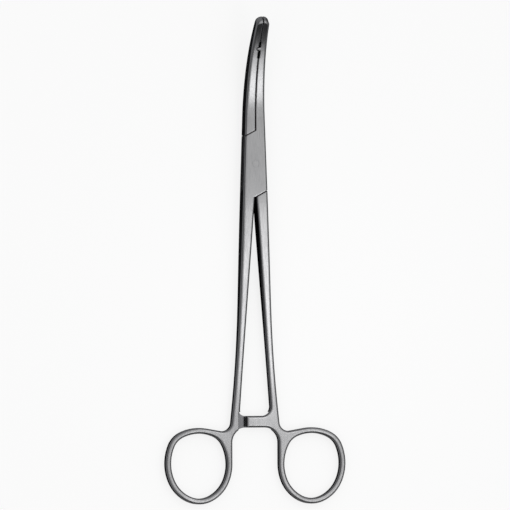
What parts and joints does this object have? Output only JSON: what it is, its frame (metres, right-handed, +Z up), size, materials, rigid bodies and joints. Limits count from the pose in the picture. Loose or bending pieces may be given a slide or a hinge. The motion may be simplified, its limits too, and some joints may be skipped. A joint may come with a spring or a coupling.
{
  "type": "hysterectomy forceps",
  "caption": "Long surgical clamping forceps with curved, obliquely serrated jaws, a box lock, a ratchet and finger rings.",
  "frame": {"origin": "centre of the bounding box in plan, on the surface that the closed forceps lies on", "axes": "+Y runs from the finger rings to the jaws, +Z points up from the surface and the jaw tips curve towards it, +X is to the right seen from above with the jaws pointing away"},
  "size_m": [0.0804, 0.2098, 0.0219],
  "materials": {
    "satin_steel": "satin"
  },
  "bodies": {
    "box_side": {"box_half": "satin_steel", "joint_pin": "satin_steel"},
    "tongue_side": {"tongue_half": "satin_steel"}
  },
  "joints": [
    {"name": "box_lock_hinge", "type": "hinge", "parent": "box_side", "child": "tongue_side", "pos_m": [0, 0.04177, 0.00386], "axis": [0, -0.0121, 0.9999], "range_deg": [0, 50]}
  ]
}
